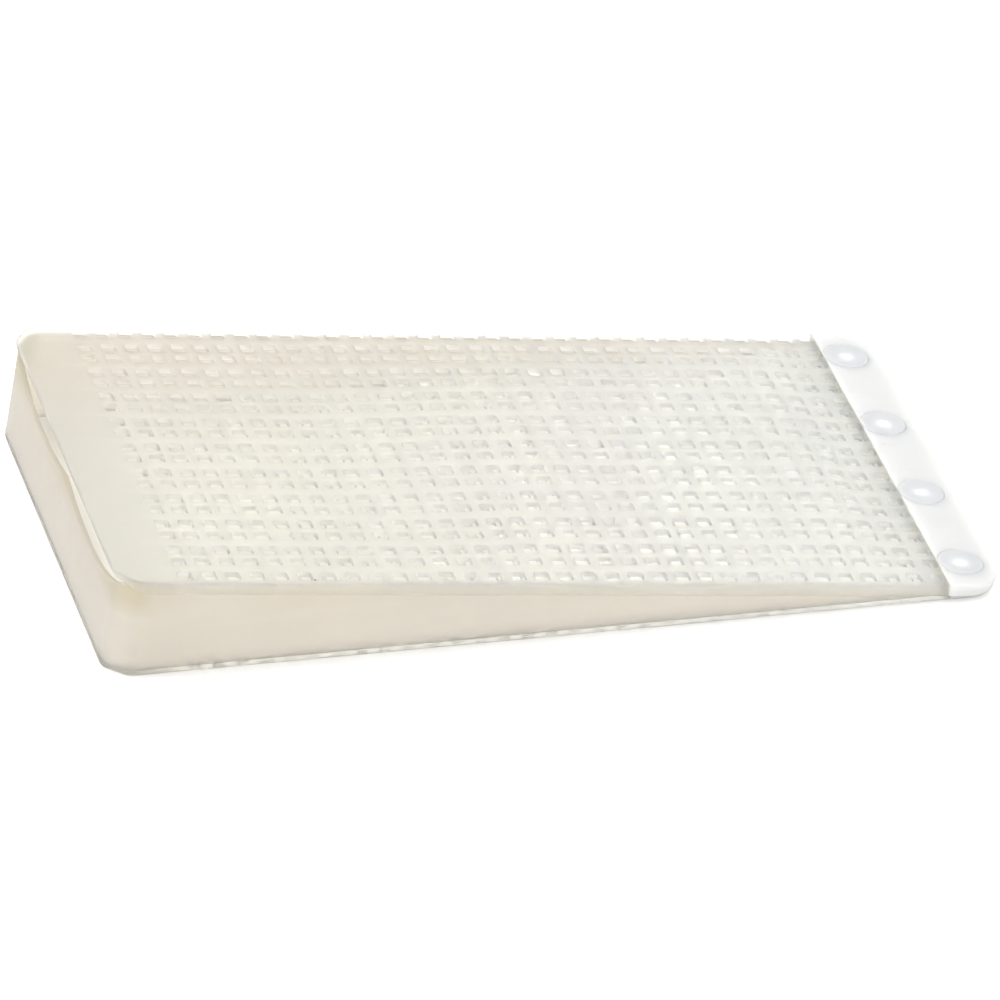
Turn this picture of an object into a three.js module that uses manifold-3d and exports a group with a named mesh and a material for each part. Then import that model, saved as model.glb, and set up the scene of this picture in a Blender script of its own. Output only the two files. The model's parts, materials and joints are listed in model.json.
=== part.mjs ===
// A wedge-shaped queen excluder cage for a beehive, in translucent plastic.
// A shallow box with a perforated floor and a perforated sloping lid. The tall end has a low
// entry slot under the lid, and at the thin end the lid is held down by a row of press studs.
// The lid sheet flexes up along a line of its own perforations, just inboard of the studs.
// Frame: millimetres, +Z up, +X towards the thin end, origin under the middle of the box.
import * as THREE from "three";
import { mergeGeometries, mergeVertices } from "three/addons/utils/BufferGeometryUtils.js";
import Module from "manifold-3d";

// Driving dimensions
const LID_SPAN = 260; // lid length, measured level
const WIDTH = 144; // lid width
const TALL_HEIGHT = 31.8; // lid's top face above the ground at the tall end
const THIN_HEIGHT = 3.8; // the same at the thin end
const SHEET = 1.7; // thickness of the perforated sheets
const WALL = 1.8; // thickness of the upright walls
const CORNER_RADIUS = 11; // plan radius of the lid's corners
const SKIRT_DEPTH = 3.6; // the lid's turned-down long edges, from the top face
const SKIRT_WALL = 1.4;
const GAP = 0.25; // between neighbouring pieces
const END_INSET = 0.9; // tall end wall set back from the lid's edge

// Perforation: columns along the length, rows in close pairs across the width
const HOLE = 4.2; // aperture that lets workers through and holds the queen back
const COLUMNS = 33;
const FIRST_COLUMN = 19.9; // from the lid's tall edge, along the sheet
const COLUMN_PITCH = 6.94;
const PAIRS = 9;
const PAIR_PITCH = 14.1;
const ROW_GAP = 6.2; // between the two rows of a pair

// Entry slot: two shallow arches side by side in the tall end wall's top edge
const ARCH_DROP = 10.8; // deepest point of each arch below the lid's top face
const TONGUE_DROP = 7.8; // the low point between the arches
const OUTER_DROP = 3.5; // where the arches die out, near the corners
const ARCH_CENTRE = 32; // from the middle of the wall
const ARCH_OUTER = 66;
const ARCH_STEPS = 24;

// Press studs
const STUDS = 4;
const STUD_PITCH = 39;
const STUD_FROM_TALL = 251.6; // along the sheet
const CAP_RADIUS = 6.6;
const CAP_HEAD = 0.8;
const CAP_SHANK_RADIUS = 2.3;
const CAP_LENGTH = 4.2;
const CAP_PLAY = 0.15;
const SOCKET_RADIUS = 5;
const SOCKET_BORE = 2.8;
const SOCKET_HEIGHT = 1.2;
const SOCKET_LIFT = 0.1; // underside kept just off the ground
const SHANK_HOLE = 3.1;

// Derived
const SLOPE = Math.atan((TALL_HEIGHT - THIN_HEIGHT) / LID_SPAN);
const LID_LENGTH = LID_SPAN / Math.cos(SLOPE);
const BASE_HALF = WIDTH / 2 - SKIRT_WALL - 0.3; // walls stand inside the lid's skirt
const FOOT = TALL_HEIGHT * Math.tan(SLOPE) - END_INSET / Math.cos(SLOPE); // end wall's lean past the lid
const X_TALL = (FOOT - LID_SPAN) / 2; // lid's tall edge
const X_FOOT = X_TALL - FOOT;
const X_THIN = X_TALL + LID_SPAN;
const BASE_RADIUS = CORNER_RADIUS - (WIDTH / 2 - BASE_HALF);
const LAST_COLUMN = FIRST_COLUMN + (COLUMNS - 1) * COLUMN_PITCH;
const FLEX_LINE = LAST_COLUMN - COLUMN_PITCH / 2; // along the sheet, between the last two columns
const FLOOR_END = X_TALL + LAST_COLUMN * Math.cos(SLOPE) + HOLE / 2 + 0.9;
const BAR_START = FLOOR_END + GAP;
const BAR_END = X_THIN - 1;
const LEG_END = X_FOOT + CORNER_RADIUS + 10; // where the end wall's legs meet the side walls

const wasm = await Module();
wasm.setup();

const sheetMaterial = new THREE.MeshStandardMaterial({
  color: 0xe6e5da,
  roughness: 0.42,
  metalness: 0,
  transparent: true,
  opacity: 0.8,
});
const wallMaterial = new THREE.MeshStandardMaterial({
  color: 0xe0ded4,
  roughness: 0.4,
  metalness: 0,
  transparent: true,
  opacity: 0.8,
});
const studMaterial = new THREE.MeshStandardMaterial({
  color: 0xf3f5f3,
  roughness: 0.35,
  metalness: 0,
});

function lidTop(x) {
  return TALL_HEIGHT - (x - X_TALL) * Math.tan(SLOPE);
}

function lidUnderside(x) {
  return lidTop(x) - SHEET / Math.cos(SLOPE);
}

function solid(geometry) {
  const bare = geometry.index ? geometry.clone() : geometry;
  bare.deleteAttribute("normal");
  bare.deleteAttribute("uv");
  const merged = mergeVertices(bare, 1e-4);
  return new wasm.Manifold(
    new wasm.Mesh({
      numProp: 3,
      vertProperties: merged.attributes.position.array,
      triVerts: new Uint32Array(merged.index.array),
    }),
  );
}

function geometryOf(manifold) {
  const mesh = manifold.getMesh();
  const geometry = new THREE.BufferGeometry();
  geometry.setAttribute("position", new THREE.BufferAttribute(mesh.vertProperties, 3));
  geometry.setIndex(new THREE.BufferAttribute(mesh.triVerts, 1));
  geometry.computeVertexNormals();
  return geometry;
}

function piece(name, geometry, material) {
  const mesh = new THREE.Mesh(geometry, material);
  mesh.name = name;
  return mesh;
}

function box(x0, x1, y0, y1, z0, z1) {
  const geometry = new THREE.BoxGeometry(x1 - x0, y1 - y0, z1 - z0);
  return geometry.translate((x0 + x1) / 2, (y0 + y1) / 2, (z0 + z1) / 2);
}

function prism(shape, z0, z1) {
  const geometry = new THREE.ExtrudeGeometry(shape, {
    depth: z1 - z0,
    bevelEnabled: false,
    curveSegments: 6,
  });
  return geometry.translate(0, 0, z0);
}

// A plate outline from x0 to x1 that may have rounded corners at either end
function plate(x0, x1, half, startRadius, endRadius) {
  const shape = new THREE.Shape();
  shape.moveTo(x0 + startRadius, -half);
  shape.lineTo(x1 - endRadius, -half);
  if (endRadius) shape.absarc(x1 - endRadius, -half + endRadius, endRadius, -Math.PI / 2, 0);
  else shape.lineTo(x1, half);
  if (endRadius) shape.absarc(x1 - endRadius, half - endRadius, endRadius, 0, Math.PI / 2);
  shape.lineTo(x0 + startRadius, half);
  if (startRadius) {
    shape.absarc(x0 + startRadius, half - startRadius, startRadius, Math.PI / 2, Math.PI);
    shape.absarc(x0 + startRadius, -half + startRadius, startRadius, Math.PI, 1.5 * Math.PI);
  } else {
    shape.lineTo(x0, -half);
  }
  return shape;
}

// Each close pair of rows is one slot here, and the two edge rows are single apertures
function slotBands() {
  const reach = ROW_GAP / 2 + HOLE / 2;
  const edge = ((PAIRS + 1) / 2) * PAIR_PITCH - ROW_GAP / 2;
  const bands = [
    [-edge - HOLE / 2, -edge + HOLE / 2],
    [edge - HOLE / 2, edge + HOLE / 2],
  ];
  for (let k = 0; k < PAIRS; k++) {
    const middle = (k - (PAIRS - 1) / 2) * PAIR_PITCH;
    bands.push([middle - reach, middle + reach]);
  }
  return bands;
}

// A sheet of the given outline with its slots cut, from z0 up
function perforatedSheet(outline, xs, z0) {
  const cutters = [];
  for (const x of xs) {
    for (const [low, high] of slotBands()) {
      cutters.push(box(x - HOLE / 2, x + HOLE / 2, low, high, z0 - 1, z0 + SHEET + 1));
    }
  }
  return solid(prism(outline, z0, z0 + SHEET)).subtract(solid(mergeGeometries(cutters)));
}

const columns = Array.from({ length: COLUMNS }, (_, i) => FIRST_COLUMN + i * COLUMN_PITCH);
const studRows = Array.from({ length: STUDS }, (_, i) => (i - (STUDS - 1) / 2) * STUD_PITCH);

// Base

function floorGrid() {
  const outline = plate(X_FOOT, FLOOR_END, BASE_HALF, BASE_RADIUS, 0);
  const xs = columns.map((u) => X_TALL + u * Math.cos(SLOPE));
  return geometryOf(perforatedSheet(outline, xs, 0));
}

function sideWall(side) {
  const foot = SHEET + GAP;
  const profile = new THREE.Shape();
  profile.moveTo(LEG_END + GAP, foot);
  profile.lineTo(FLOOR_END, foot);
  profile.lineTo(FLOOR_END, lidUnderside(FLOOR_END) - GAP);
  profile.lineTo(LEG_END + GAP, lidUnderside(LEG_END + GAP) - GAP);
  // the prism is drawn in XZ and turned so that its depth runs along -Y
  const geometry = prism(profile, 0, WALL).rotateX(Math.PI / 2);
  return geometry.translate(0, side > 0 ? BASE_HALF : -BASE_HALF + WALL, 0);
}

// Height of the end wall's top edge below the lid's top face
function slotDrop(y) {
  const reach = Math.abs(y);
  if (reach < ARCH_CENTRE) {
    return ARCH_DROP - (ARCH_DROP - TONGUE_DROP) * (1 - reach / ARCH_CENTRE) ** 2;
  }
  const out = Math.min((reach - ARCH_CENTRE) / (ARCH_OUTER - ARCH_CENTRE), 1);
  return ARCH_DROP - (ARCH_DROP - OUTER_DROP) * out ** 2;
}

// The end wall stands square to the lid, so it is made in the lid's frame and then tilted
function tallEndWall() {
  const legs = (LEG_END - X_TALL) / Math.cos(SLOPE);
  const outer = plate(END_INSET, legs + 20, BASE_HALF, BASE_RADIUS, 0);
  const inner = plate(END_INSET + WALL, legs + 30, BASE_HALF - WALL, BASE_RADIUS - WALL, 0);
  const height = TALL_HEIGHT + 12;
  const shell = solid(prism(outer, -height, 0)).subtract(solid(prism(inner, -height - 1, 1)));
  const crest = new THREE.Shape();
  const top = SHEET + GAP;
  crest.moveTo(-WIDTH / 2, -height - 1);
  crest.lineTo(WIDTH / 2, -height - 1);
  crest.lineTo(WIDTH / 2, -top);
  crest.lineTo(ARCH_OUTER, -top);
  for (let i = 0; i <= ARCH_STEPS; i++) {
    const y = ARCH_OUTER * (1 - (2 * i) / ARCH_STEPS);
    crest.lineTo(y, -slotDrop(y));
  }
  crest.lineTo(-ARCH_OUTER, -top);
  crest.lineTo(-WIDTH / 2, -top);
  // drawn in YZ, with its depth along +X
  const keep = prism(crest, -5, legs + 25).applyMatrix4(
    new THREE.Matrix4().makeBasis(
      new THREE.Vector3(0, 1, 0),
      new THREE.Vector3(0, 0, 1),
      new THREE.Vector3(1, 0, 0),
    ),
  );
  const tilted = geometryOf(shell.intersect(solid(keep)));
  tilted.rotateY(SLOPE).translate(X_TALL, 0, TALL_HEIGHT);
  const room = box(X_FOOT - 9, LEG_END, -WIDTH, WIDTH, SHEET + GAP, TALL_HEIGHT + 9);
  return geometryOf(solid(tilted).intersect(solid(room)));
}

// Where a stud's axis crosses a given height above the ground
function studX(height) {
  const top = X_TALL + STUD_FROM_TALL * Math.cos(SLOPE);
  return top - (lidTop(top) - height) * Math.tan(SLOPE);
}

function thinEndBar() {
  const profile = new THREE.Shape();
  profile.moveTo(BAR_START, 0);
  profile.lineTo(BAR_END, 0);
  profile.lineTo(BAR_END, lidUnderside(BAR_END) - GAP);
  profile.lineTo(BAR_START, lidUnderside(BAR_START) - GAP);
  const wedge = prism(profile, -BASE_HALF, BASE_HALF).rotateX(Math.PI / 2);
  const outline = plate(BAR_START - 30, BAR_END, BASE_HALF, 0, BASE_RADIUS);
  let bar = solid(wedge).intersect(solid(prism(outline, -1, TALL_HEIGHT)));
  const pocket = SOCKET_RADIUS + CAP_PLAY;
  for (const y of studRows) {
    const seat = new THREE.CylinderGeometry(pocket, pocket, 2 * (SOCKET_HEIGHT + SOCKET_LIFT + GAP), 32);
    const bore = new THREE.CylinderGeometry(SHANK_HOLE, SHANK_HOLE, 20, 24);
    for (const cutter of [seat, bore]) {
      cutter.rotateX(Math.PI / 2).translate(studX(SOCKET_HEIGHT), y, 0);
      bar = bar.subtract(solid(cutter));
    }
  }
  return geometryOf(bar);
}

function studSocket(y) {
  const profile = [
    new THREE.Vector2(SOCKET_BORE, 0),
    new THREE.Vector2(SOCKET_RADIUS, 0),
    new THREE.Vector2(SOCKET_RADIUS, SOCKET_HEIGHT),
    new THREE.Vector2(SOCKET_BORE, SOCKET_HEIGHT),
    new THREE.Vector2(SOCKET_BORE, 0),
  ];
  const ring = new THREE.LatheGeometry(profile, 32).rotateX(Math.PI / 2);
  return ring.translate(studX(SOCKET_HEIGHT), y, SOCKET_LIFT);
}

// Lid, made in its own frame: x along the sheet from the tall edge, z square to it, top face at 0

function skirt(x0, x1, side) {
  const outer = (side * WIDTH) / 2;
  const inner = side * (WIDTH / 2 - SKIRT_WALL);
  return solid(box(x0, x1, Math.min(outer, inner), Math.max(outer, inner), -SKIRT_DEPTH, -SHEET / 2));
}

function lidGrid() {
  const end = FLEX_LINE - GAP / 2;
  const outline = plate(0, end, WIDTH / 2, CORNER_RADIUS, 0);
  const sheet = perforatedSheet(outline, columns.slice(0, -1), -SHEET);
  const skirts = skirt(CORNER_RADIUS, end, 1).add(skirt(CORNER_RADIUS, end, -1));
  return geometryOf(sheet.add(skirts));
}

function lidTab() {
  const start = FLEX_LINE + GAP / 2;
  const outline = plate(start, LID_LENGTH, WIDTH / 2, 0, CORNER_RADIUS);
  let tab = perforatedSheet(outline, columns.slice(-1), -SHEET);
  const skirtEnd = LID_LENGTH - CORNER_RADIUS;
  tab = tab.add(skirt(start, skirtEnd, 1)).add(skirt(start, skirtEnd, -1));
  const seatRadius = CAP_RADIUS + CAP_PLAY;
  for (const y of studRows) {
    const seat = new THREE.CylinderGeometry(seatRadius, seatRadius, 2 * (CAP_HEAD + CAP_PLAY), 40);
    const bore = new THREE.CylinderGeometry(SHANK_HOLE, SHANK_HOLE, 20, 24);
    for (const cutter of [seat, bore]) {
      cutter.rotateX(Math.PI / 2).translate(STUD_FROM_TALL, y, 0);
      tab = tab.subtract(solid(cutter));
    }
  }
  return geometryOf(tab);
}

function studCap(y) {
  const profile = [
    new THREE.Vector2(0, -CAP_LENGTH),
    new THREE.Vector2(CAP_SHANK_RADIUS, -CAP_LENGTH),
    new THREE.Vector2(CAP_SHANK_RADIUS, -CAP_HEAD),
    new THREE.Vector2(CAP_RADIUS, -CAP_HEAD),
    new THREE.Vector2(CAP_RADIUS, 0),
    new THREE.Vector2(0, 0),
  ];
  return new THREE.LatheGeometry(profile, 40).rotateX(Math.PI / 2).translate(STUD_FROM_TALL, y, 0);
}

const excluder = new THREE.Group();
const base = new THREE.Group();
base.add(
  piece("floor_grid", floorGrid(), sheetMaterial),
  piece("near_side_wall", sideWall(-1), wallMaterial),
  piece("far_side_wall", sideWall(1), wallMaterial),
  piece("tall_end_wall", tallEndWall(), wallMaterial),
  piece("thin_end_bar", thinEndBar(), wallMaterial),
);

const lid = new THREE.Group();
lid.position.set(X_TALL, 0, TALL_HEIGHT);
lid.rotation.y = SLOPE;
lid.add(piece("lid_grid", lidGrid(), sheetMaterial), piece("lid_tab", lidTab(), sheetMaterial));

studRows.forEach((y, i) => {
  lid.add(piece(`stud_cap_${i + 1}`, studCap(y), studMaterial));
  base.add(piece(`stud_socket_${i + 1}`, studSocket(y), studMaterial));
});
excluder.add(base, lid);

export default excluder;
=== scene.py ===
import json
import math

import bmesh
import bpy
from mathutils import Matrix, Vector


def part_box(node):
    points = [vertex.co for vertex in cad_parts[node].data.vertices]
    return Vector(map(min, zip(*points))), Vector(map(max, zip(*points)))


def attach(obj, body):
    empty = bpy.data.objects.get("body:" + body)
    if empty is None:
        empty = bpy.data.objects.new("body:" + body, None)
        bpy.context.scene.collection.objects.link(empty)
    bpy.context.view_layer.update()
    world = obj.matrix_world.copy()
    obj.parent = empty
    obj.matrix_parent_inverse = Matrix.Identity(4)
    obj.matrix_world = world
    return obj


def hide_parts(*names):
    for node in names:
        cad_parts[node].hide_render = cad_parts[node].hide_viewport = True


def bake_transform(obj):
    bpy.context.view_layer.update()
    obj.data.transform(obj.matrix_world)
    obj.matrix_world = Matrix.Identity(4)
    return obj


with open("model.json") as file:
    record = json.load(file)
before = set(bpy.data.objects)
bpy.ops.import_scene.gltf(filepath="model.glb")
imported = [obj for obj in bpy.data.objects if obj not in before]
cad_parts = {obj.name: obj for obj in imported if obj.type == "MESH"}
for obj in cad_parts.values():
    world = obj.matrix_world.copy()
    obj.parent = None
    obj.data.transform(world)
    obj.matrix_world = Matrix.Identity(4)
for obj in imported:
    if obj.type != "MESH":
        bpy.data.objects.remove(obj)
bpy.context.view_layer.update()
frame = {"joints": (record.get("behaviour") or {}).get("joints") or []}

bl_info = {
    "name": "Queen Excluder Cage",
    "version": (1, 0, 0),
    "blender": (4, 5, 0),
    "location": "3D View > Sidebar > Excluder",
    "description": "Builds the wedge-shaped queen excluder cage around its packed model",
    "category": "Object",
}

MM = 0.001

# ---------------------------------------------------------------- places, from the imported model

SHEET = 1.7 * MM  # both perforated sheets
GRID_LOW, GRID_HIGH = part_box("lid_grid")
TAB_LOW, TAB_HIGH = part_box("lid_tab")
FLOOR_LOW, FLOOR_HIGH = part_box("floor_grid")
BAR_LOW, BAR_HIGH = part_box("thin_end_bar")
SIDE_LOW, SIDE_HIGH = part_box("near_side_wall")
HINGE = Vector(frame["joints"][0]["pos_m"])


def lid_slope():
    """The lid's slope and the place of its tall edge, from the hinge and the lid's box."""
    slope = math.atan((GRID_HIGH.z - HINGE.z) / (HINGE.x - GRID_LOW.x))
    edge = GRID_LOW.x + SHEET * math.sin(slope)
    return math.atan((GRID_HIGH.z - HINGE.z) / (HINGE.x - edge)), edge


SLOPE, X_TALL = lid_slope()
TALL = GRID_HIGH.z
HALF_WIDTH = GRID_HIGH.y
BASE_HALF = FLOOR_HIGH.y
LID_LENGTH = (TAB_HIGH.x - X_TALL) / math.cos(SLOPE)
FLEX = (HINGE.x - X_TALL) / math.cos(SLOPE)
LID_FRAME = Matrix.Translation((X_TALL, 0, TALL)) @ Matrix.Rotation(SLOPE, 4, "Y")
SOCKET_BOXES = [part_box(f"stud_socket_{i}") for i in range(1, 5)]


def lid_point(along, across, up=0.0):
    """A point given along the lid from its tall edge, across it, and square to its top face."""
    return LID_FRAME @ Vector((along, across, up))


def lid_underside(x):
    """Height of the lid's lower face above the ground at x."""
    return TALL - (x - X_TALL) * math.tan(SLOPE) - SHEET / math.cos(SLOPE)


# ---------------------------------------------------------------- settings a user would change


def length(name, text, default, low=0.0, high=1.0):
    return bpy.props.FloatProperty(
        name=name, description=text, default=default, min=low, max=high, unit="LENGTH", precision=5
    )


def colour(name, text, default):
    return bpy.props.FloatVectorProperty(
        name=name, description=text, default=default, size=4, min=0.0, max=1.0, subtype="COLOR"
    )


class LatticeSettings(bpy.types.PropertyGroup):
    hole: length("Hole", "Side of one aperture", 4.2 * MM)
    hole_corner: length("Hole corner", "Corner radius of an aperture", 0.9 * MM)
    hole_edge: length("Hole edge", "Rounding where an aperture meets a face", 0.18 * MM)
    columns: bpy.props.IntProperty(name="Columns", description="Columns along the length", default=33)
    first_column: length("First column", "From the tall edge, along the sheet", 19.9 * MM)
    column_pitch: length("Column pitch", "Between two columns", 6.94 * MM)
    pairs: bpy.props.IntProperty(name="Pairs", description="Close pairs of rows", default=9)
    pair_pitch: length("Pair pitch", "Between the middles of two pairs", 14.1 * MM)
    row_gap: length("Row gap", "Between the two rows of a pair", 6.2 * MM)
    rib_top: length("Rib top", "Flat width of a rib", 1.5 * MM)
    rib_foot: length("Rib foot", "Width of a rib at its foot", 2.5 * MM)
    rib_height: length("Rib height", "How far the ribs stand above the rows", 0.05 * MM)


class ShellSettings(bpy.types.PropertyGroup):
    lid_radius: length("Lid corner", "Plan radius of the lid's corners", 11 * MM)
    base_radius: length("Base corner", "Plan radius of the base's corners", 9.3 * MM)
    skirt_depth: length("Skirt depth", "Turned-down long edges of the lid", 3.6 * MM)
    skirt_wall: length("Skirt wall", "Thickness of the turned-down edges", 1.4 * MM)
    edge: length("Edge rounding", "Rounding of the outer edges", 0.55 * MM)
    wall: length("Wall", "Thickness of the upright walls", 1.8 * MM)
    crown: length("Lid crown", "How far the middle of the lid bows up", 2.0 * MM)
    end_inset: length("End inset", "Tall end wall set back from the lid's edge", 0.9 * MM)
    arch_drop: length("Arch drop", "Top of the end wall under the lid at an arch", 10.8 * MM)
    tongue_drop: length("Tongue drop", "The same at the tongue between the arches", 7.8 * MM)
    outer_drop: length("Outer drop", "The same where the arches die out", 3.5 * MM)
    arch_centre: length("Arch centre", "From the middle of the wall", 32 * MM)
    arch_outer: length("Arch outer end", "From the middle of the wall", 66 * MM)


class StudSettings(bpy.types.PropertyGroup):
    from_tall: length("Studs from tall edge", "Along the lid", 251.6 * MM)
    pitch: length("Stud pitch", "Between two studs", 39 * MM)
    cap_radius: length("Cap radius", "Radius of a stud's head", 6.6 * MM)
    cap_play: length("Cap play", "Between a head and its seat", 0.1 * MM)
    cap_head: length("Cap head", "Thickness of a stud's head", 0.8 * MM)
    shank_radius: length("Shank radius", "Radius of a stud's shank", 2.3 * MM)
    cap_length: length("Cap length", "From a head's face to the shank's tip", 4.2 * MM)
    shank_hole: length("Shank hole", "Radius of the hole round a shank", 3.1 * MM)
    socket_bore: length("Socket bore", "Inner radius of a socket ring", 2.8 * MM)


class FinishSettings(bpy.types.PropertyGroup):
    sheet: colour("Sheet", "Milky perforated sheet", (0.979, 0.970, 0.932, 1))
    # Darker than the sheet as painted shade: the upright walls get less of the light from above than the
    # lid.
    wall: colour("Wall", "Moulded walls", (0.75, 0.69, 0.61, 1))
    tab: colour("Tab", "Plain end of the lid under the studs", (0.955, 0.945, 0.865, 1))
    stud: colour("Stud", "Press studs", (0.95, 0.93, 0.84, 1))
    bar: colour("Bar", "Solid bar at the thin end", (0.97, 0.97, 0.95, 1))
    cloud: colour("Cloud", "Warmer clouds in the plastic", (0.975, 0.960, 0.915, 1))
    speck: colour("Speck", "Propolis and dust specks", (0.16, 0.11, 0.07, 1))
    ground: colour("Ground", "Pale floor of the stage", (0.97, 0.97, 0.97, 1))


class CameraSettings(bpy.types.PropertyGroup):
    azimuth: bpy.props.FloatProperty(
        name="Azimuth", description="Towards the tall end", default=math.radians(16.42), subtype="ANGLE"
    )
    elevation: bpy.props.FloatProperty(
        name="Elevation", description="Above the ground", default=math.radians(31.02), subtype="ANGLE"
    )
    roll: bpy.props.FloatProperty(
        name="Roll", description="Turn about the line of sight", default=math.radians(3.52), subtype="ANGLE"
    )
    distance: length("Distance", "From the cage's middle", 3.0, 0.1, 20.0)
    lens: bpy.props.FloatProperty(name="Lens", description="Focal length", default=376.6, unit="CAMERA")
    aim_drop: length("Aim drop", "How far below the middle it points", 10.55 * MM)


# ---------------------------------------------------------------- shader maths


class Sock:
    """A shader socket whose arithmetic adds Math nodes."""

    def __init__(self, graph, socket):
        self.graph = graph
        self.socket = socket

    def math(self, operation, a, b):
        node = self.graph.add("ShaderNodeMath", {"operation": operation}, {0: a, 1: b})
        return Sock(self.graph, node.outputs[0])

    def __add__(self, other):
        return self.math("ADD", self, other)

    def __sub__(self, other):
        return self.math("SUBTRACT", self, other)

    def __mul__(self, other):
        return self.math("MULTIPLY", self, other)

    def __lt__(self, other):
        return self.math("LESS_THAN", self, other)

    __radd__ = __add__


class Graph:
    """A material's node tree."""

    def __init__(self, name):
        self.material = bpy.data.materials.new(name)
        self.material.use_nodes = True
        self.tree = self.material.node_tree
        self.tree.nodes.clear()

    def add(self, kind, settings=None, values=None):
        """Adds a node, sets its settings, then gives its sockets values or links."""
        node = self.tree.nodes.new(kind)
        for key, value in (settings or {}).items():
            if key == "stops":
                self.set_ramp(node.color_ramp, value)
            else:
                setattr(node, key, value)
        for key, value in (values or {}).items():
            value = getattr(value, "socket", value)
            if isinstance(value, bpy.types.NodeSocket):
                self.tree.links.new(value, node.inputs[key])
            else:
                node.inputs[key].default_value = value
        return node

    @staticmethod
    def set_ramp(ramp, stops):
        for (place, shade), element in zip(stops, ramp.elements):
            element.position = place
            element.color = (shade, shade, shade, 1)

    def out(self, node, socket=0):
        return Sock(self, node.outputs[socket])

    def noise(self, where, scale, detail=2.0, roughness=0.5, distortion=0.0):
        settings = {"noise_dimensions": "3D"}
        values = {"Vector": where, "Scale": scale, "Detail": detail}
        values.update({"Roughness": roughness, "Distortion": distortion})
        return self.out(self.add("ShaderNodeTexNoise", settings, values), "Fac")

    def ramp(self, value, low, high):
        node = self.add("ShaderNodeValToRGB", {"stops": ((low, 0.0), (high, 1.0))}, {"Fac": value})
        return self.out(node, "Color")

    def mix(self, factor, a, b):
        """The colour a turned towards the colour b. The sockets' numbers are the node's own."""
        node = self.add("ShaderNodeMix", {"data_type": "RGBA"}, {0: factor, 6: a, 7: b})
        return self.out(node, 2)


FLOW_TINT = (0.96, 0.955, 0.93, 1)
# painted highlight: the pale tint laid on convex edges
EDGE_HIGHLIGHT_TINT = (0.97, 0.965, 0.94, 1)
# painted light: the paler tint towards the thin end
THIN_END_LIGHT_TINT = (0.992, 0.992, 0.970, 1)
# painted shade: the dark warm tint along the end wall's crest, under the lid
CREST_SHADE_TINT = (0.62, 0.57, 0.42, 1)
STRETCH = (0.18, 1.0, 1.0)  # draws flow lines and scratches out along the length
ONE_LENGTH = 4.0  # turns x into shares of the cage's length, near enough
TALL_END = (-8.0, 0.94, 0.98)  # x times the first grows from the second to the third at the end wall
WALL_CREST = (30.0, 0.55, 0.72)  # the same for z at the crest


def plastic(name, base, cloud, speck, clear, roughness, specks=(), painted_end_light=0.0, crest_shade=0.0):
    """Translucent natural plastic: clouds, faint flow lines, fine scratches and a few specks,
    with painted light laid on: a painted highlight on convex edges, painted light towards the
    thin end and a painted shade along the end wall's crest. clear is the share of light let
    through; the last two arguments set the strength of the painted light at the thin end and
    of the painted shade along the end wall's crest."""
    g = Graph(name)
    where = g.out(g.add("ShaderNodeTexCoord"), "Object")
    along = g.out(g.add("ShaderNodeMapping", {}, {"Vector": where, "Scale": STRETCH}))
    clouds = g.ramp(g.noise(where, 26.0, 4.0, 0.55, 0.6), 0.38, 0.72)
    flow = g.noise(along, 190.0, 3.0, 0.6, 0.3)
    grain = g.noise(where, 900.0, 3.0, 0.6)
    fine = g.noise(where, 3200.0, 2.0, 0.5)
    scratch = g.ramp(g.noise(along, 1500.0, 2.0, 0.7), 0.62, 0.75)

    tint = g.mix(clouds * 0.45, base, cloud)
    tint = g.mix(g.ramp(flow, 0.45, 0.75) * 0.10, tint, FLOW_TINT)
    # Painted highlight: convex edges, found by pointiness, turn paler.
    edges = g.ramp(g.out(g.add("ShaderNodeNewGeometry"), "Pointiness"), 0.52, 0.60)
    tint = g.mix(edges * 0.25, tint, EDGE_HIGHLIGHT_TINT)
    split = g.add("ShaderNodeSeparateXYZ", {}, {0: where})
    x, z = g.out(split, "X"), g.out(split, "Z")
    # Painted light: paler towards the thin end, where less shade falls inside the shallow cage.
    tint = g.mix(g.ramp(x * ONE_LENGTH + 0.5, 0.25, 0.95) * painted_end_light, tint, THIN_END_LIGHT_TINT)
    # Painted shade: a dark warm band along the top of the end wall, just under the lid's edge.
    at_end = g.ramp(x * TALL_END[0], *TALL_END[1:])
    at_crest = g.ramp(z * WALL_CREST[0], *WALL_CREST[1:])
    tint = g.mix(at_end * at_crest * crest_shade, tint, CREST_SHADE_TINT)
    dots = 0.0
    for spot, size in specks:
        settings = {"operation": "DISTANCE"}
        away = g.add("ShaderNodeVectorMath", settings, {0: where, 1: tuple(spot)})
        ragged = g.out(away, "Value") + (grain - 0.5) * (0.9 * size)
        dots = dots + (ragged < size)
    tint = g.mix(dots, tint, speck)

    rough = (grain - 0.5) * 0.14 + (clouds * 0.06 + roughness) + scratch * 0.08
    height = fine * 0.35 + grain * 0.65 + flow * 0.8 + scratch * -0.3
    relief = {"Strength": 0.16, "Distance": 0.2 * MM, "Height": height}
    bump = g.add("ShaderNodeBump", {}, relief)
    shader = g.add(
        "ShaderNodeBsdfPrincipled",
        {"subsurface_method": "RANDOM_WALK"},
        {
            "Base Color": tint,
            "Roughness": rough,
            "IOR": 1.25,
            "Normal": g.out(bump),
            "Subsurface Weight": 1.0,
            "Subsurface Radius": (1.0, 0.96, 0.86),
            "Subsurface Scale": 6 * MM,
            "Transmission Weight": clear,
            "Specular IOR Level": 0.45,
        },
    )
    g.add("ShaderNodeOutputMaterial", {}, {"Surface": g.out(shader)})
    return g.material


def ground_material(shade):
    g = Graph("pale_ground")
    shader = g.add("ShaderNodeBsdfPrincipled", {}, {"Base Color": shade, "Roughness": 0.85})
    g.add("ShaderNodeOutputMaterial", {}, {"Surface": g.out(shader)})
    return g.material


# ---------------------------------------------------------------- mesh helpers


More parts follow.
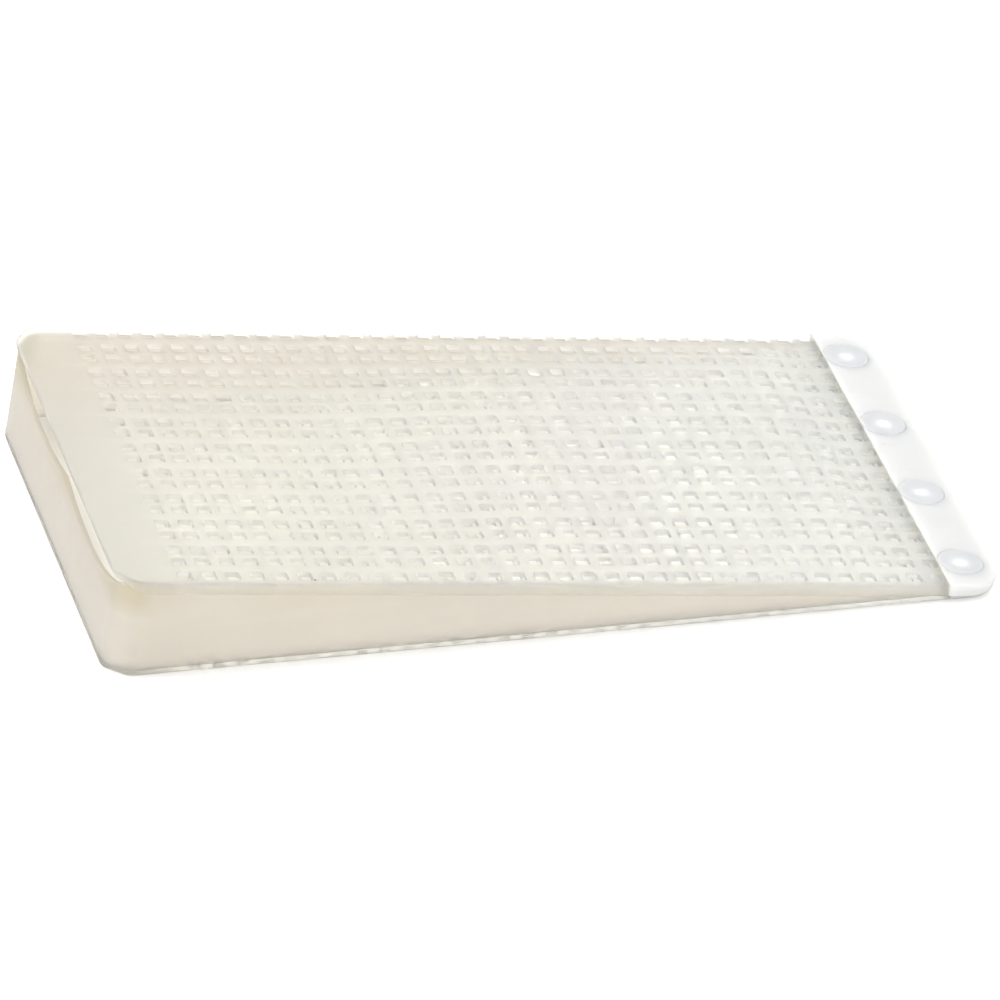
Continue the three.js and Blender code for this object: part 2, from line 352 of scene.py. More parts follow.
def shade_smooth(mesh):
    """Smooth faces, sharp where the surface turns by more than 40 degrees."""
    mesh.polygons.foreach_set("use_smooth", [True] * len(mesh.polygons))
    mesh.set_sharp_from_angle(angle=math.radians(40))


def put_in_scene(name, data):
    """A new object in the scene that shows a mesh, a lamp or a camera."""
    item = bpy.data.objects.new(name, data)
    bpy.context.scene.collection.objects.link(item)
    return item


def new_piece(name, bm, finish, body, nodes):
    """Puts a bmesh into the scene as a finished piece that rides on its body, if one is given."""
    bmesh.ops.remove_doubles(bm, verts=bm.verts, dist=1e-7)
    bmesh.ops.recalc_face_normals(bm, faces=bm.faces)
    mesh = bpy.data.meshes.new(name)
    bm.to_mesh(mesh)
    bm.free()
    shade_smooth(mesh)
    mesh.materials.append(finishes()[finish])
    piece = put_in_scene(name, mesh)
    if body:
        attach(piece, body)
    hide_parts(*nodes)
    return piece


def quarter(steps):
    """Angles of a rounded edge or corner, from one side to the next."""
    return [math.pi / 2 * i / steps for i in range(steps + 1)]


def rounded_square(half, radius, steps=3):
    """Outline of an aperture round the origin, counter-clockwise from its lower right corner."""
    points = []
    for turn in range(4):
        start = -math.pi / 2 + turn * math.pi / 2
        cx = (half - radius) * (1 if turn in (0, 1) else -1)
        cy = (half - radius) * (1 if turn in (1, 2) else -1)
        for i in range(steps + 1):
            angle = start + math.pi / 2 * i / steps
            points.append((cx + radius * math.cos(angle), cy + radius * math.sin(angle)))
    return points


FIELD_MARGIN = 0.1 * MM  # between the outermost apertures and the ends of the field
ROW_MARGIN = 0.05 * MM  # the same across the width
ROW_STEP = 0.12 * MM  # width of the step from the rows up to the plain margin


class Lattice:
    """The lines and apertures of a perforated sheet, shared by the lid and the floor."""

    def __init__(self, s, offset=0.0, stretch=1.0):
        self.s = s
        half_pitch = s.column_pitch * stretch / 2
        self.columns = [
            offset + (s.first_column + i * s.column_pitch) * stretch for i in range(s.columns)
        ]
        inner = [x - half_pitch for x in self.columns] + [self.columns[-1] + half_pitch]
        inner[0] = self.columns[0] - s.hole / 2 - s.hole_edge - FIELD_MARGIN
        inner[-1] = self.columns[-1] + s.hole / 2 + s.hole_edge + FIELD_MARGIN
        self.xs = [inner[0] - FIELD_MARGIN] + inner + [inner[-1] + FIELD_MARGIN]
        self.ys, self.deep, self.rows = self.lines_across()

    def lines_across(self):
        """Cell lines across the width, whether each lies deep, and which strips hold a row."""
        s = self.s
        lines, rows = [], {}
        pitch, gap = s.pair_pitch, s.row_gap
        last_row = (s.pairs + 1) / 2 * pitch - gap / 2
        outer = last_row + s.hole / 2 + s.hole_edge + ROW_MARGIN
        lines += [(-outer - ROW_STEP, False), (-outer, True)]
        rows[1] = -last_row
        for k in range(s.pairs + 1):
            rib = (k - s.pairs / 2) * pitch
            lines += [(rib - s.rib_foot / 2, True), (rib - s.rib_top / 2, False)]
            lines += [(rib + s.rib_top / 2, False), (rib + s.rib_foot / 2, True)]
            if k < s.pairs:
                middle = rib + pitch / 2
                rows[len(lines) - 1] = middle - gap / 2
                lines.append((middle, True))
                rows[len(lines) - 1] = middle + gap / 2
        rows[len(lines) - 1] = last_row
        lines += [(outer, True), (outer + ROW_STEP, False)]
        return [y for y, _ in lines], [deep for _, deep in lines], rows


def build_field(bm, lattice, place, top, bottom, ribbed_top):
    """The perforated field of a sheet. place turns sheet coordinates into a point.
    Returns the vertices round its edge on the top and on the bottom, both in the same order."""
    s = lattice.s
    nx, ny = len(lattice.xs), len(lattice.ys)

    def level(i, j, side_is_top):
        face = top if side_is_top else bottom
        flat = i in (0, nx - 1) or not lattice.deep[j]
        if flat or side_is_top != ribbed_top:
            return face
        return face - s.rib_height if side_is_top else face + s.rib_height

    grids = {}
    for side in (True, False):
        grids[side] = [
            [bm.verts.new(place(x, y, level(i, j, side))) for j, y in enumerate(lattice.ys)]
            for i, x in enumerate(lattice.xs)
        ]
    shape = rounded_square(s.hole / 2, s.hole_corner)
    wide = rounded_square(s.hole / 2 + s.hole_edge, s.hole_corner + s.hole_edge)
    per_corner = len(shape) // 4
    upper = top - (s.rib_height if ribbed_top else 0)
    lower = bottom + (0 if ribbed_top else s.rib_height)

    def ring(cx, cy, spread, depth):
        return [
            bm.verts.new(
                place(
                    cx + a[0] + (b[0] - a[0]) * spread,
                    cy + a[1] + (b[1] - a[1]) * spread,
                    depth,
                )
            )
            for a, b in zip(shape, wide)
        ]

    def tile(i, j, side, loop):
        """Faces between a cell's four corners and the aperture's rim."""
        grid = grids[side]
        corners = [grid[i + 1][j], grid[i + 1][j + 1], grid[i][j + 1], grid[i][j]]
        for c in range(4):
            arc = loop[c * per_corner : (c + 1) * per_corner]
            for a, b in zip(arc, arc[1:]):
                bm.faces.new((corners[c], b, a) if side else (corners[c], a, b))
            after = loop[(c + 1) * per_corner % len(loop)]
            quad = (corners[c], corners[(c + 1) % 4], after, arc[-1])
            bm.faces.new(quad if side else quad[::-1])

    for i in range(nx - 1):
        for j in range(ny - 1):
            column = i - 1
            holed = 0 <= column < s.columns and j in lattice.rows
            if not holed:
                for side in (True, False):
                    g = grids[side]
                    quad = (g[i][j], g[i + 1][j], g[i + 1][j + 1], g[i][j + 1])
                    bm.faces.new(quad if side else quad[::-1])
                continue
            cx, cy = lattice.columns[column], lattice.rows[j]
            loops = [
                ring(cx, cy, spread, upper - s.hole_edge * drop) for spread, drop in rounded_rim()
            ]
            for spread, drop in reversed(rounded_rim()):
                loops.append(ring(cx, cy, spread, lower + s.hole_edge * drop))
            tile(i, j, True, loops[0])
            tile(i, j, False, loops[-1])
            for a, b in zip(loops, loops[1:]):
                join_rings(bm, a, b)

    def edge_of(grid):
        low = [grid[i][0] for i in range(nx)]
        right = [grid[nx - 1][j] for j in range(1, ny)]
        high = [grid[i][ny - 1] for i in range(nx - 2, -1, -1)]
        left = [grid[0][j] for j in range(ny - 2, 0, -1)]
        return low + right + high + left

    return edge_of(grids[True]), edge_of(grids[False])


def rounded_rim(steps=2):
    """Spread and drop, both from 0 to 1, of the rounded edge between a face and an aperture."""
    return [(1 - math.sin(a), 1 - math.cos(a)) for a in quarter(steps)]


class Outline:
    """A plate's rounded outline, with a point facing each line of its perforated field."""

    def __init__(self, x0, x1, half, start_radius, end_radius, xs, ys):
        self.x0, self.x1, self.half = x0, x1, half
        self.r0, self.r1 = start_radius, end_radius
        self.points = []  # (x, y, outward x, outward y)
        self.links = []  # index of the field edge vertex that each point faces
        nx, ny = len(xs), len(ys)
        count = 2 * (nx + ny) - 4
        low = [(self.across(x, -1), i) for i, x in enumerate(xs)]
        right = [(self.along(y, 1), nx - 1 + j) for j, y in enumerate(ys)]
        high = [(self.across(x, 1), nx + ny - 2 + i) for i, x in enumerate(reversed(xs))]
        left = [(self.along(y, -1), 2 * nx + ny - 3 + j) for j, y in enumerate(reversed(ys))]
        for side in (low, right, high, left):
            if self.points:
                self.round_to(side[0][0])
            for point, index in side:
                self.points.append(point)
                self.links.append(index % count)
        self.round_to(self.points[0])

    def across(self, x, side):
        """The outline's point above or below x."""
        ends = ((self.x0 + self.r0, self.r0, -1), (self.x1 - self.r1, self.r1, 1))
        for centre, radius, way in ends:
            if (x - centre) * way > 0:
                out = (x - centre) / radius
                up = math.sqrt(max(1 - out * out, 0))
                return (x, side * (self.half - radius + radius * up), out, side * up)
        return (x, side * self.half, 0.0, float(side))

    def along(self, y, side):
        """The outline's point to the left or right of y."""
        radius = self.r1 if side > 0 else self.r0
        edge = self.x1 if side > 0 else self.x0
        over = abs(y) - (self.half - radius)
        if over <= 0:
            return (edge, y, float(side), 0.0)
        up = over / radius
        out = math.sqrt(max(1 - up * up, 0))
        return (edge - side * radius * (1 - out), y, side * out, math.copysign(up, y))

    def round_to(self, target, steps=7):
        """Points on the corner between the last point and the target."""
        start = self.points[-1]
        a = math.atan2(start[3], start[2])
        b = math.atan2(target[3], target[2])
        turn = (b - a) % (2 * math.pi)
        to_right = math.cos(a + turn / 2) > 0
        radius = self.r1 if to_right else self.r0
        cx = self.x1 - radius if to_right else self.x0 + radius
        cy = (self.half - radius) * (1 if math.sin(a + turn / 2) > 0 else -1)
        link = self.links[-1]
        for k in range(1, steps):
            angle = a + turn * k / steps
            out, up = math.cos(angle), math.sin(angle)
            self.points.append((cx + radius * out, cy + radius * up, out, up))
            self.links.append(link)


def join_rings(bm, a, b):
    """A band of faces between two rings."""
    for k in range(len(a)):
        n = (k + 1) % len(a)
        bm.faces.new((a[k], a[n], b[n], b[k]))


def join_row(bm, rings):
    """Bands of faces through a row of rings, closed at both ends."""
    for a, b in zip(rings, rings[1:]):
        join_rings(bm, a, b)
    bm.faces.new(rings[0])
    bm.faces.new(rings[-1])


def join_field(bm, outline, ring, field):
    """Faces between an outline ring and the edge of the perforated field."""
    count = len(ring)
    for k in range(count):
        n = (k + 1) % count
        a, b = field[outline.links[k]], field[outline.links[n]]
        if a is b:
            bm.faces.new((ring[k], ring[n], a))
        else:
            bm.faces.new((ring[k], ring[n], b, a))


def edge_profile(edge, depth, skirt_wall=0.0, sheet=SHEET, steps=3):
    """Inset and height of a plate's edge, from its top face round to its underside."""
    down = [(edge * (1 - math.sin(a)), -edge * (1 - math.cos(a))) for a in quarter(steps)]
    under = [(inset, -depth - height) for inset, height in reversed(down)]
    if not skirt_wall:
        return down + under
    lip = min(edge, skirt_wall / 2)
    inner = [
        (skirt_wall - lip * (1 - math.cos(a)), min(-sheet, -depth + lip * (1 - math.sin(a))))
        for a in reversed(quarter(steps))
    ]
    return down + under + inner + [(skirt_wall, -sheet)]


def perforated_sheet(lattice, outline, place, profile_of, ribbed_top):
    """A whole perforated sheet with its margins and rounded outer edge. Top face at 0."""
    bm = bmesh.new()
    top_edge, bottom_edge = build_field(bm, lattice, place, 0.0, -SHEET, ribbed_top)
    profiles = [profile_of(*point) for point in outline.points]
    rings = []
    for step in range(len(profiles[0])):
        ring = []
        for (x, y, out, up), profile in zip(outline.points, profiles):
            inset, height = profile[step]
            ring.append(bm.verts.new(place(x - out * inset, y - up * inset, height)))
        rings.append(ring)
    join_field(bm, outline, rings[0], top_edge)
    for a, b in zip(rings, rings[1:]):
        join_rings(bm, a, b)
    join_field(bm, outline, rings[-1], bottom_edge)
    return bm


def cut(piece, cutters):
    """Cuts the cutters' bmeshes out of the piece, all in one step."""
    body = bmesh.new()  # many-sided faces first become triangles, which a boolean keeps sound
    body.from_mesh(piece.data)
    bmesh.ops.triangulate(body, faces=[f for f in body.faces if len(f.verts) > 4])
    body.to_mesh(piece.data)
    body.free()
    mesh = bpy.data.meshes.new("tool")
    for cutter in cutters:
        cutter.from_mesh(mesh)
        bmesh.ops.recalc_face_normals(cutter, faces=cutter.faces)
        cutter.to_mesh(mesh)
        cutter.free()
    tool = put_in_scene("tool", mesh)
    modifier = piece.modifiers.new("cut", "BOOLEAN")
    modifier.operation = "DIFFERENCE"
    modifier.object = tool
    modifier.solver = "EXACT"
    with bpy.context.temp_override(object=piece, active_object=piece):
        bpy.ops.object.modifier_apply(modifier=modifier.name)
    bpy.data.objects.remove(tool)
    shade_smooth(piece.data)


ROUND = 72  # faces round a stud or a socket


def lathe(profile, matrix, steps=64):
    """A bmesh turned from a profile of radius and height round the Z axis."""
    bm = bmesh.new()
    closed = profile[0][0] > 0
    rings = []
    for radius, height in profile:
        if radius == 0:
            rings.append([bm.verts.new(matrix @ Vector((0, 0, height)))] * steps)
            continue
        turns = [2 * math.pi * k / steps for k in range(steps)]
        spots = [(radius * math.cos(a), radius * math.sin(a), height) for a in turns]
        rings.append([bm.verts.new(matrix @ Vector(spot)) for spot in spots])
    if closed:
        rings.append(rings[0])
    for a, b in zip(rings, rings[1:]):
        for k in range(steps):
            n = (k + 1) % steps
            corners = list(dict.fromkeys((a[k], a[n], b[n], b[k])))
            if len(corners) > 2:
                bm.faces.new(corners)
    return bm


def wall_section(foot, top, inward, thickness, edge):
    """A wall's cross-section: outer face, rounded crest, inner face."""
    rise = top - foot
    height = rise.length
    rise = rise / height
    crest = [(edge * (1 - math.cos(a)), height - edge * (1 - math.sin(a))) for a in quarter(3)]
    marks = [(0.0, 0.0)] + crest
    marks += [(thickness - across, up) for across, up in reversed(crest)]
    marks.append((thickness, 0.0))
    return [foot + inward * across + rise * up for across, up in marks]


def sweep(sections):
    """A bmesh through a row of cross-sections, closed at both ends."""
    bm = bmesh.new()
    join_row(bm, [[bm.verts.new(point) for point in section] for section in sections])
    return bm


# ---------------------------------------------------------------- places shared by the pieces

BEND_BEFORE = 3 * MM  # the lid's bend, from the studs' side of the flex line
BEND_BEYOND = 26 * MM  # and from the tall end's side
CROWN_FROM = 72 * MM  # the lid's bow starts here, from the tall edge
CROWN_RISE = 66 * MM  # and is full after this
CROWN_PAST = 1 * MM  # it ends this far past the flex line
CROWN_FALL = 24 * MM  # and falls over this
SEAT = 0.03 * MM  # between two faces that touch
LID_SEAT = 0.12 * MM  # between the walls and the lid that rests on them


def smooth_step(value):
    """0 below 0, 1 above 1, and a soft rise between them."""
    value = min(max(value, 0), 1)
    return value * value * (3 - 2 * value)


def crown_at(shell, along, across):
    """How far the lid bows up: nothing at its edges and at the stud tab."""
    grows = smooth_step((along - CROWN_FROM) / CROWN_RISE)
    ends = smooth_step((FLEX + CROWN_PAST - along) / CROWN_FALL)
    return shell.crown * grows * ends * (1 - min(abs(across) / HALF_WIDTH, 1) ** 2)


def stud_places(studs):
    """The four studs' frames, on the lid's top face."""
    rows = [(i - 1.5) * studs.pitch for i in range(4)]
    return [LID_FRAME @ Matrix.Translation((studs.from_tall, y, 0)) for y in rows]


# ---------------------------------------------------------------- operators, one for each piece or group


def finishes():
    """The materials, made once and shared by the pieces."""
    f = bpy.context.scene.excluder_finish
    if "milky_sheet" not in bpy.data.materials:
        specks = [
            (lid_point(82 * MM, 24 * MM), 0.62 * MM),
            (lid_point(19 * MM, -68 * MM), 0.55 * MM),
            (lid_point(57 * MM, -69.5 * MM), 0.4 * MM),
        ]
        smooth = 0.50
        # The sheet takes the painted light towards the thin end.
        plastic("milky_sheet", f.sheet, f.cloud, f.speck, 0.97, 0.58, specks, painted_end_light=1.0)
        # The walls' darker colour is painted shade, and they take a painted shade along the end wall's
        # crest.
        plastic("smooth_wall", f.wall, f.wall, f.speck, 0.60, smooth, crest_shade=0.6)
        plastic("pale_tab", f.tab, f.tab, f.speck, 0.25, smooth)
        plastic("clear_stud", f.stud, f.stud, f.speck, 0.0, smooth)
        plastic("solid_block", f.bar, f.bar, f.speck, 0.0, smooth)
    return bpy.data.materials


class PieceOperator:
    bl_options = {"REGISTER", "UNDO"}


class EXCLUDER_OT_lid(PieceOperator, bpy.types.Operator):
    """Build the lid: one perforated sheet with seats cut for its studs; it is built unbent at its flex line
    beside them
    """

    bl_idname = "excluder.lid"
    bl_label = "Lid"

    def execute(self, context):
        scene = context.scene
        shell, studs = scene.excluder_shell, scene.excluder_studs
        lattice = Lattice(scene.excluder_lattice)
        outline = Outline(
            0, LID_LENGTH, HALF_WIDTH, shell.lid_radius, shell.lid_radius, lattice.xs, lattice.ys
        )

        def profile_of(x, y, out, up):
            share = abs(up) ** 3 * (3 - 2 * abs(up))
            depth = SHEET + (shell.skirt_depth - SHEET) * share  # full only along the long edges
            return edge_profile(shell.edge, depth, shell.skirt_wall)

        def place(along, across, up):
            return lid_point(along, across, up + crown_at(shell, along, across))

        bm = perforated_sheet(lattice, outline, place, profile_of, True)
        lid = new_piece(
            "lid_sheet", bm, "milky_sheet", None, ["lid_grid", "lid_tab"]
        )
        seat = studs.cap_radius + studs.cap_play
        floor = -studs.cap_head - studs.cap_play
        lead, above, below = 0.12 * MM, 2 * MM, -3 * MM
        profile = [(0, above), (seat + lead, above), (seat + lead, 0), (seat, -lead)]
        profile += [(seat, floor), (studs.shank_hole, floor)]
        profile += [(studs.shank_hole, below), (0, below)]
        cut(lid, [lathe(profile, where) for where in stud_places(studs)])
        lid.data.materials.append(finishes()["pale_tab"])
        to_lid = LID_FRAME.inverted()
        for face in lid.data.polygons:
            if (to_lid @ face.center).x > lattice.xs[-1]:
                face.material_index = 1
        start = lid_point(FLEX + BEND_BEFORE, 0)
        end = lid_point(FLEX - BEND_BEYOND, 0)
        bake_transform(lid)
        return {"FINISHED"}


class EXCLUDER_OT_floor(PieceOperator, bpy.types.Operator):
    """Build the perforated floor"""

    bl_idname = "excluder.floor"
    bl_label = "Floor"

    def execute(self, context):
        scene = context.scene
        shell = scene.excluder_shell
        lattice = Lattice(scene.excluder_lattice, X_TALL, math.cos(SLOPE))
        corner, edge = 0.4 * MM, 0.38 * MM  # at the bar, and round the sheet
        outline = Outline(
            FLOOR_LOW.x, FLOOR_HIGH.x, BASE_HALF, shell.base_radius, corner, lattice.xs, lattice.ys
        )
        profile = edge_profile(edge, SHEET)

        def place(x, y, up):
            return Vector((x, y, SHEET + up))

        bm = perforated_sheet(lattice, outline, place, lambda *_: profile, False)
        new_piece("floor_sheet", bm, "milky_sheet", "cage", ["floor_grid"])
        return {"FINISHED"}


class EXCLUDER_OT_walls(PieceOperator, bpy.types.Operator):
    """Build the upright walls: two tapered sides and the tall end with its two arches"""

    bl_idname = "excluder.walls"
    bl_label = "Walls"

    def execute(self, context):
        shell = context.scene.excluder_shell
        sections = [self.section(shell, *spot) for spot in self.route(shell)]
        walls = new_piece(
            "upright_walls",
            sweep(sections),
            "smooth_wall",
            "cage",
            ["near_side_wall", "far_side_wall", "tall_end_wall"],
        )
        lattice = Lattice(context.scene.excluder_lattice, X_TALL, math.cos(SLOPE))
        cut(walls, [self.notches(lattice)])
        return {"FINISHED"}

    def route(self, shell):
        """Spots round the walls, each of five values: along the lid, across it, the outward
        direction's two parts, and 1 for a side wall, 0 for the end wall or between them."""
        sides, legs, end = 24, 8, 96  # spots along a side wall, its last stretch and the end wall
        radius, inset = shell.base_radius, shell.end_inset
        straight = BASE_HALF - radius
        leg_end = (SIDE_LOW.x - X_TALL) / math.cos(SLOPE)
        side_end = (SIDE_HIGH.x - X_TALL) / math.cos(SLOPE)
        route = []
        for k in range(sides):
            along = side_end + (leg_end - side_end) * k / sides
            route.append((along, -BASE_HALF, 0.0, -1.0, 1.0))
        for k in range(legs):
            share = k / legs
            along = leg_end + (inset + radius - leg_end) * share
            route.append((along, -BASE_HALF, 0.0, -1.0, 1 - share))
        for angle in quarter(12):
            out, up = -math.sin(angle), -math.cos(angle)
            route.append((inset + radius + radius * out, -straight + radius * up, out, up, 0.0))
        half = len(route)
        for k in range(1, end):
            route.append((inset, straight * (2 * k / end - 1), -1.0, 0.0, 0.0))
        return route + [(u, -v, out, -up, side) for u, v, out, up, side in reversed(route[:half])]

    def section(self, shell, u, v, out, up, side):
        """The walls' cross-section at a spot, turning from upright to square with the lid."""
        height = (SHEET + SEAT - TALL + u * math.sin(SLOPE)) / math.cos(SLOPE)
        square_foot = lid_point(u, v, height)
        square_top = lid_point(u, v, -self.crest(shell, v))
        x = X_TALL + u * math.cos(SLOPE)
        foot = square_foot.lerp(Vector((x, v, SHEET + SEAT)), side)
        top = square_top.lerp(Vector((x, v, lid_underside(x) - LID_SEAT)), side)
        if side:
            top.z = lid_underside(top.x) - LID_SEAT
        inward = Vector((-out * math.cos(SLOPE), -up, out * math.sin(SLOPE)))
        return wall_section(foot, top, inward.normalized(), shell.wall, shell.edge)

    def notches(self, lattice):
        """Hollows in the walls' feet over the floor's outermost rows of apertures."""
        bm = bmesh.new()
        s = lattice.s
        shy, straight, depth, taper = 0.1 * MM, 0.55 * MM, 0.8 * MM, 0.3 * MM
        outline = rounded_square(s.hole / 2 - shy, s.hole_corner)
        levels = ((0, 0), (SHEET + straight, 0), (SHEET + depth, taper))
        row = max(lattice.rows.values())
        for x in lattice.columns:
            for y in (-row, row):
                rings = []
                for z, inset in levels:
                    share = 1 - inset / (s.hole / 2)
                    spots = [(x + px * share, y + py * share, z) for px, py in outline]
                    rings.append([bm.verts.new(spot) for spot in spots])
                join_row(bm, rings)
        return bm

    @staticmethod
    def crest(shell, y):
        """How far the wall's top edge lies below the lid's top face."""
        reach = abs(y)
        if reach < shell.arch_centre:
            away = 1 - reach / shell.arch_centre
            return shell.arch_drop - (shell.arch_drop - shell.tongue_drop) * away**2
        out = (reach - shell.arch_centre) / (shell.arch_outer - shell.arch_centre)
        drop = shell.arch_drop - (shell.arch_drop - shell.outer_drop) * min(out, 1) ** 2
        rise = smooth_step((reach - shell.arch_outer) / (3 * MM))
        return drop + (SHEET + LID_SEAT - drop) * rise


class EXCLUDER_OT_thin_end(PieceOperator, bpy.types.Operator):
    """Build the solid bar at the thin end with its socket seats"""

    bl_idname = "excluder.thin_end"
    bl_label = "Thin end bar"

    def execute(self, context):
        scene = context.scene
        shell, studs = scene.excluder_shell, scene.excluder_studs
        corner, edge = 0.6 * MM, 0.35 * MM  # at the floor, and round both faces
        ys = [BASE_HALF * (k / 12 - 1) * 0.8 for k in range(25)]
        xs = [BAR_LOW.x + 2 * MM, BAR_HIGH.x - shell.base_radius]
        outline = Outline(BAR_LOW.x, BAR_HIGH.x, BASE_HALF, corner, shell.base_radius, xs, ys)
        lower = [(1, 0, 0), (0.3, 0, 0.3), (0, 0, 1)]
        upper = [(inset, 1, -shift) for inset, _, shift in reversed(lower)]
        bm = bmesh.new()
        rings = []
        for inset, share, shift in lower + upper:  # share is 0 at the ground, 1 under the lid
            ring = []
            for x, y, out, up in outline.points:
                px, py = x - out * inset * edge, y - up * inset * edge
                top = lid_underside(px) - LID_SEAT
                ring.append(bm.verts.new((px, py, top * share + shift * edge)))
            rings.append(ring)
        join_row(bm, rings)
        bar = new_piece("thin_end_block", bm, "solid_block", "cage", ["thin_end_bar"])
        cutters = []
        below, above, room = -1 * MM, 8 * MM, 0.2 * MM
        for low, high in SOCKET_BOXES:
            middle = (low + high) / 2
            seat = high.x - middle.x + studs.cap_play
            lift = high.z + room
            profile = [(0, below), (seat, below), (seat, lift), (studs.shank_hole, lift)]
            profile += [(studs.shank_hole, above), (0, above)]
            cutters.append(lathe(profile, Matrix.Translation((middle.x, middle.y, 0))))
        cut(bar, cutters)
        return {"FINISHED"}


class EXCLUDER_OT_studs(PieceOperator, bpy.types.Operator):
    """Build the press studs: four caps and four sockets"""

    bl_idname = "excluder.studs"
    bl_label = "Press studs"

    def execute(self, context):
        studs = context.scene.excluder_studs
        profile = self.cap_profile(studs)
        for i, where in enumerate(stud_places(studs), 1):
            bm = lathe(profile, where, ROUND)
            new_piece(f"stud_head_{i}", bm, "clear_stud", "cage", [f"stud_cap_{i}"])
        for i, (low, high) in enumerate(SOCKET_BOXES, 1):
            self.socket(i, low, high, studs)
        return {"FINISHED"}

    @staticmethod
    def cap_profile(studs):
        """A stud's profile from its tip up: barb, shank, fillet, head, rounded rim, shallow dish."""
        head, rim, dish = studs.cap_radius, 0.22 * MM, -0.08 * MM
        shank, tip, under = studs.shank_radius, -studs.cap_length, -studs.cap_head
        barb, fillet, break_edge = 0.25 * MM, 0.4 * MM, 0.1 * MM
        profile = [(0, tip), (shank - 0.5 * MM, tip), (shank + barb, tip + 0.5 * MM)]
        profile += [(shank + barb, tip + 0.8 * MM), (shank, tip + 1.2 * MM)]
        profile += [(shank, under - fillet), (shank + fillet, under)]
        profile += [(head - break_edge, under), (head, under + break_edge)]
        profile += [(head - rim * (1 - math.cos(a)), -rim * (1 - math.sin(a))) for a in quarter(3)]
        profile += [(head - 0.7 * MM, 0), (head - 1.1 * MM, dish), (head - 1.4 * MM, dish)]
        return profile + [(0.5 * MM, dish), (0, dish)]

    def socket(self, i, low, high, studs):
        """A ring with a chamfered bore and four relief notches."""
        middle = (low + high) / 2
        outer, bore, height = high.x - middle.x, studs.socket_bore, high.z - low.z
        soft, lead = 0.15 * MM, 0.35 * MM
        profile = [(bore + lead, 0), (outer - soft, 0), (outer, soft), (outer, height - soft)]
        profile += [(outer - soft, height), (bore + soft, height), (bore, height - soft)]
        profile += [(bore, lead)]
        bm = lathe(profile, Matrix.Translation((middle.x, middle.y, low.z)), ROUND)
        nodes = [f"stud_socket_{i}"]
        ring = new_piece(f"stud_ring_{i}", bm, "clear_stud", "cage", nodes)
        cutters = []
        for k in range(4):
            notch = bmesh.new()
            bmesh.ops.create_cube(notch, size=1)
            place = Matrix.Translation(middle) @ Matrix.Rotation(math.pi / 2 * k, 4, "Z")
            place = place @ Matrix.Translation((bore + 0.3 * MM, 0, 0))
            notch.transform(place @ Matrix.Diagonal((1.6 * MM, 0.6 * MM, 4 * MM, 1)))
            cutters.append(notch)
        cut(ring, cutters)


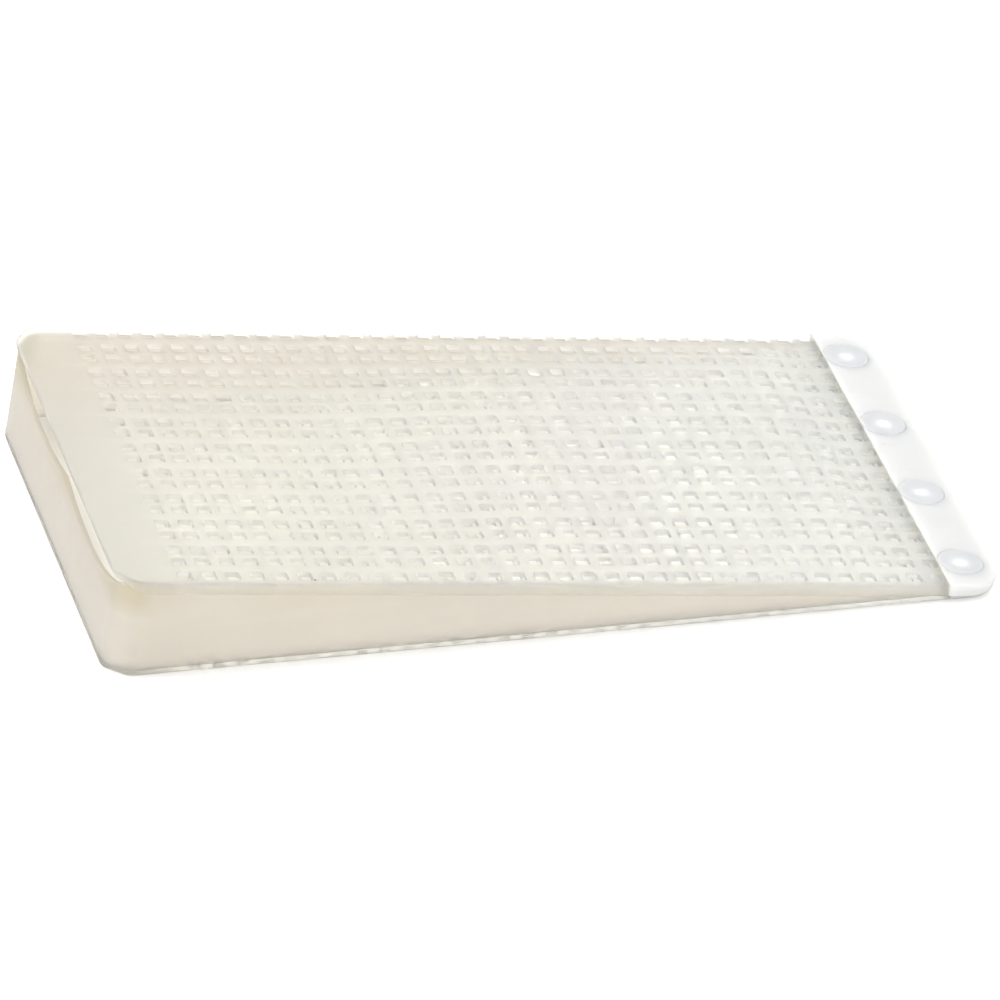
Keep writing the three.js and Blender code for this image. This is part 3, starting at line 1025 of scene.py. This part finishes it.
class EXCLUDER_OT_stage(bpy.types.Operator):
    """Set the pale floor, the soft lights and the camera"""

    bl_idname = "excluder.stage"
    bl_label = "Stage"

    def execute(self, context):
        scene = context.scene
        self.ground(scene)
        self.lights(scene)
        self.camera(scene)
        scene.view_settings.view_transform = "Standard"
        return {"FINISHED"}

    def ground(self, scene):
        bm = bmesh.new()
        bmesh.ops.create_grid(bm, x_segments=48, y_segments=48, size=6.0)
        mesh = bpy.data.meshes.new("ground")
        bm.to_mesh(mesh)
        bm.free()
        mesh.materials.append(ground_material(scene.excluder_finish.ground))
        ground = put_in_scene("ground", mesh)
        ground.location.z = -0.12 * MM  # just clear of the floor sheet's underside

    def lights(self, scene):
        world = bpy.data.worlds.new("studio")
        world.use_nodes = True
        sky = world.node_tree.nodes["Background"]
        sky.inputs["Color"].default_value = (1.0, 1.0, 1.0, 1)
        sky.inputs["Strength"].default_value = 1.10
        scene.world = world
        for name, place, size, power in (
            ("softbox_over", (-0.15, 0.25, 1.5), 1.4, 9.0),
            ("softbox_left", (-1.5, 0.25, 0.55), 1.0, 6.0),
        ):
            lamp = bpy.data.lights.new(name, "AREA")
            lamp.shape = "DISK"
            lamp.size = size
            lamp.energy = power
            holder = put_in_scene(name, lamp)
            holder.location = place
            holder.rotation_euler = Vector(place).to_track_quat("Z", "Y").to_euler()

    def camera(self, scene):
        c = scene.excluder_camera
        flat, rise = math.cos(c.elevation), math.sin(c.elevation)
        towards = Vector((-flat * math.sin(c.azimuth), -flat * math.cos(c.azimuth), rise))
        middle = Vector((0, 0, 15 * MM))
        place = middle + towards * c.distance
        right = Vector((0, 0, 1)).cross(towards).normalized()
        up = towards.cross(right)
        level, tall = math.cos(c.roll), math.sin(c.roll)
        right, up = right * level + up * tall, up * level - right * tall
        back = (place - (middle - up * c.aim_drop)).normalized()
        right = up.cross(back).normalized()
        up = back.cross(right)
        lens = bpy.data.cameras.new("camera")
        lens.lens = c.lens
        lens.sensor_width = 36
        lens.clip_end = 50
        camera = put_in_scene("camera", lens)
        turn = Matrix((right, up, back)).transposed().to_4x4()
        camera.matrix_world = Matrix.Translation(place) @ turn
        scene.camera = camera


class EXCLUDER_PT_panel(bpy.types.Panel):
    """Lists the pieces of the cage"""

    bl_label = "Queen Excluder"
    bl_idname = "EXCLUDER_PT_panel"
    bl_space_type = "VIEW_3D"
    bl_region_type = "UI"
    bl_category = "Excluder"

    def draw(self, context):
        for group in GROUPS:
            box = self.layout.box()
            settings = getattr(context.scene, group)
            for key in settings.bl_rna.properties.keys():
                if key not in ("rna_type", "name"):
                    box.prop(settings, key)
        for operator in BUILDERS:
            self.layout.operator(operator.bl_idname)


GROUPS = {
    "excluder_lattice": LatticeSettings,
    "excluder_shell": ShellSettings,
    "excluder_studs": StudSettings,
    "excluder_finish": FinishSettings,
    "excluder_camera": CameraSettings,
}
BUILDERS = (
    EXCLUDER_OT_stage,
    EXCLUDER_OT_floor,
    EXCLUDER_OT_walls,
    EXCLUDER_OT_thin_end,
    EXCLUDER_OT_lid,
    EXCLUDER_OT_studs,
)


def register():
    for group in GROUPS.values():
        bpy.utils.register_class(group)
    for name, group in GROUPS.items():
        setattr(bpy.types.Scene, name, bpy.props.PointerProperty(type=group))
    for operator in BUILDERS:
        bpy.utils.register_class(operator)
    bpy.utils.register_class(EXCLUDER_PT_panel)


def unregister():
    bpy.utils.unregister_class(EXCLUDER_PT_panel)
    for operator in reversed(BUILDERS):
        bpy.utils.unregister_class(operator)
    for name, group in reversed(GROUPS.items()):
        delattr(bpy.types.Scene, name)
        bpy.utils.unregister_class(group)


def main():
    register()
    for operator in BUILDERS:
        family, action = operator.bl_idname.split(".")
        getattr(getattr(bpy.ops, family), action)()


if __name__ == "__main__":
    main()
